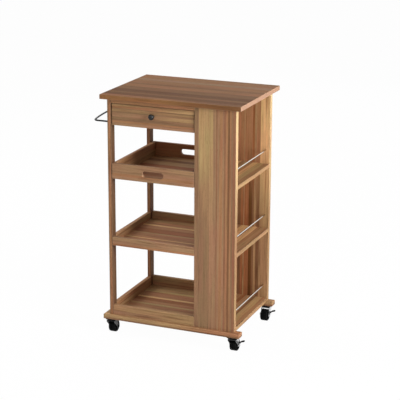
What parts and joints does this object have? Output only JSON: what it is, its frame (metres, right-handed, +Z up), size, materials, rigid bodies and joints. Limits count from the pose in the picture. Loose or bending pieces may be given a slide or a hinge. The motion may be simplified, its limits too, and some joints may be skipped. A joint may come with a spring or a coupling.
{
  "type": "serving cart",
  "caption": "Wooden kitchen trolley on swivel casters with a worktop, a sliding drawer, a lift-out tray on runners, open shelves, a side rack with guard rods and a bowed towel rail.",
  "frame": {"origin": "on the floor under the middle of the cart's box: midway between the bow of the towel rail and the tips of the brake levers, and midway from front to back", "axes": "+Z up, +X from the towel rail end to the side rack end, +Y from the drawer front to the back"},
  "size_m": [0.6002, 0.398, 0.895],
  "materials": {
    "worktop_wood": "satin lacquer over edge-glued strips, darker than the frame",
    "frame_wood": "satin lacquer over edge-glued strips",
    "panel_wood": "satin lacquer over edge-glued strips, upright grain",
    "shelf_wood": "satin lacquer over edge-glued strips",
    "drawer_wood": "satin lacquer over edge-glued strips",
    "tray_wood": "satin lacquer over edge-glued strips",
    "runner_wood": "planed and waxed hardwood",
    "dowel_wood": "plain turned hardwood",
    "rod_chrome": "bright plated",
    "dark_steel": "dark grey satin coating",
    "fastener_steel": "zinc plated",
    "fork_silver": "bright zinc plated pressing",
    "fork_dark": "dark grey satin coating",
    "wheel_black": "black moulding",
    "lever_black": "black moulding"
  },
  "bodies": {
    "carcass": {"top_board": "worktop_wood", "front_base_bar": "frame_wood", "rear_base_bar": "frame_wood", "base_board": "shelf_wood", "front_left_post": "frame_wood", "rear_left_post": "frame_wood", "divider_panel": "panel_wood", "front_panel": "panel_wood", "rear_panel": "panel_wood", "upper_front_rail": "frame_wood", "rear_apron": "frame_wood", "left_apron": "frame_wood", "middle_front_rail": "frame_wood", "middle_rear_rail": "frame_wood", "middle_left_rail": "frame_wood", "middle_shelf_panel": "shelf_wood", "bottom_front_rail": "frame_wood", "bottom_rear_rail": "frame_wood", "bottom_left_rail": "frame_wood", "upper_side_shelf": "shelf_wood", "middle_side_shelf": "shelf_wood", "bottom_side_shelf": "shelf_wood", "guard_rods": "rod_chrome", "towel_rail": "dark_steel", "drawer_runner_left": "runner_wood", "drawer_runner_right": "runner_wood", "tray_runner_left": "runner_wood", "tray_runner_right": "runner_wood", "caster_plates": "fastener_steel", "caster_kingpins": "fastener_steel", "caster_screws": "fastener_steel", "base_screws": "fastener_steel", "frame_dowels": "dowel_wood"},
    "drawer": {"drawer_front": "drawer_wood", "drawer_left_side": "drawer_wood", "drawer_right_side": "drawer_wood", "drawer_back": "drawer_wood", "drawer_floor": "drawer_wood", "drawer_knob": "dark_steel", "knob_screw": "fastener_steel"},
    "tray": {"tray_front": "tray_wood", "tray_rear": "tray_wood", "tray_left_side": "tray_wood", "tray_right_side": "tray_wood", "tray_floor": "tray_wood"},
    "front_left_swivel": {"front_left_fork": "fork_dark", "front_left_axle": "fastener_steel"},
    "front_left_roller": {"front_left_wheel": "wheel_black"},
    "front_right_swivel": {"front_right_fork": "fork_silver", "front_right_axle": "fastener_steel"},
    "front_right_roller": {"front_right_wheel": "wheel_black"},
    "front_right_lever": {"front_right_brake": "lever_black"},
    "rear_left_swivel": {"rear_left_fork": "fork_dark", "rear_left_axle": "fastener_steel"},
    "rear_left_roller": {"rear_left_wheel": "wheel_black"},
    "rear_right_swivel": {"rear_right_fork": "fork_silver", "rear_right_axle": "fastener_steel"},
    "rear_right_roller": {"rear_right_wheel": "wheel_black"},
    "rear_right_lever": {"rear_right_brake": "lever_black"}
  },
  "joints": [
    {"name": "drawer_slide", "type": "slide", "parent": "carcass", "child": "drawer", "axis": [0, -1, 0], "range_m": [0, 0.22]},
    {"name": "tray_slide", "type": "slide", "parent": "carcass", "child": "tray", "axis": [0, -1, 0], "range_m": [0, 0.35]},
    {"name": "front_left_swivel_turn", "type": "hinge", "parent": "carcass", "child": "front_left_swivel", "pos_m": [-0.21414, -0.176, 0.0488], "axis": [0, 0, 1], "continuous": true},
    {"name": "front_left_wheel_spin", "type": "hinge", "parent": "front_left_swivel", "child": "front_left_roller", "pos_m": [-0.21414, -0.16, 0.022], "axis": [1, 0, 0], "continuous": true},
    {"name": "front_right_swivel_turn", "type": "hinge", "parent": "carcass", "child": "front_right_swivel", "pos_m": [0.26186, -0.176, 0.0488], "axis": [0, 0, 1], "continuous": true},
    {"name": "front_right_wheel_spin", "type": "hinge", "parent": "front_right_swivel", "child": "front_right_roller", "pos_m": [0.26186, -0.16, 0.022], "axis": [1, 0, 0], "continuous": true},
    {"name": "front_right_brake_tip", "type": "hinge", "parent": "front_right_swivel", "child": "front_right_lever", "pos_m": [0.28046, -0.164, 0.0305], "axis": [0, 1, 0], "range_deg": [0, 45]},
    {"name": "rear_left_swivel_turn", "type": "hinge", "parent": "carcass", "child": "rear_left_swivel", "pos_m": [-0.21414, 0.176, 0.0488], "axis": [0, 0, 1], "continuous": true},
    {"name": "rear_left_wheel_spin", "type": "hinge", "parent": "rear_left_swivel", "child": "rear_left_roller", "pos_m": [-0.21414, 0.16, 0.022], "axis": [1, 0, 0], "continuous": true},
    {"name": "rear_right_swivel_turn", "type": "hinge", "parent": "carcass", "child": "rear_right_swivel", "pos_m": [0.26186, 0.176, 0.0488], "axis": [0, 0, 1], "continuous": true},
    {"name": "rear_right_wheel_spin", "type": "hinge", "parent": "rear_right_swivel", "child": "rear_right_roller", "pos_m": [0.26186, 0.16, 0.022], "axis": [1, 0, 0], "continuous": true},
    {"name": "rear_right_brake_tip", "type": "hinge", "parent": "rear_right_swivel", "child": "rear_right_lever", "pos_m": [0.28046, 0.164, 0.0305], "axis": [0, 1, 0], "range_deg": [0, 45]}
  ]
}
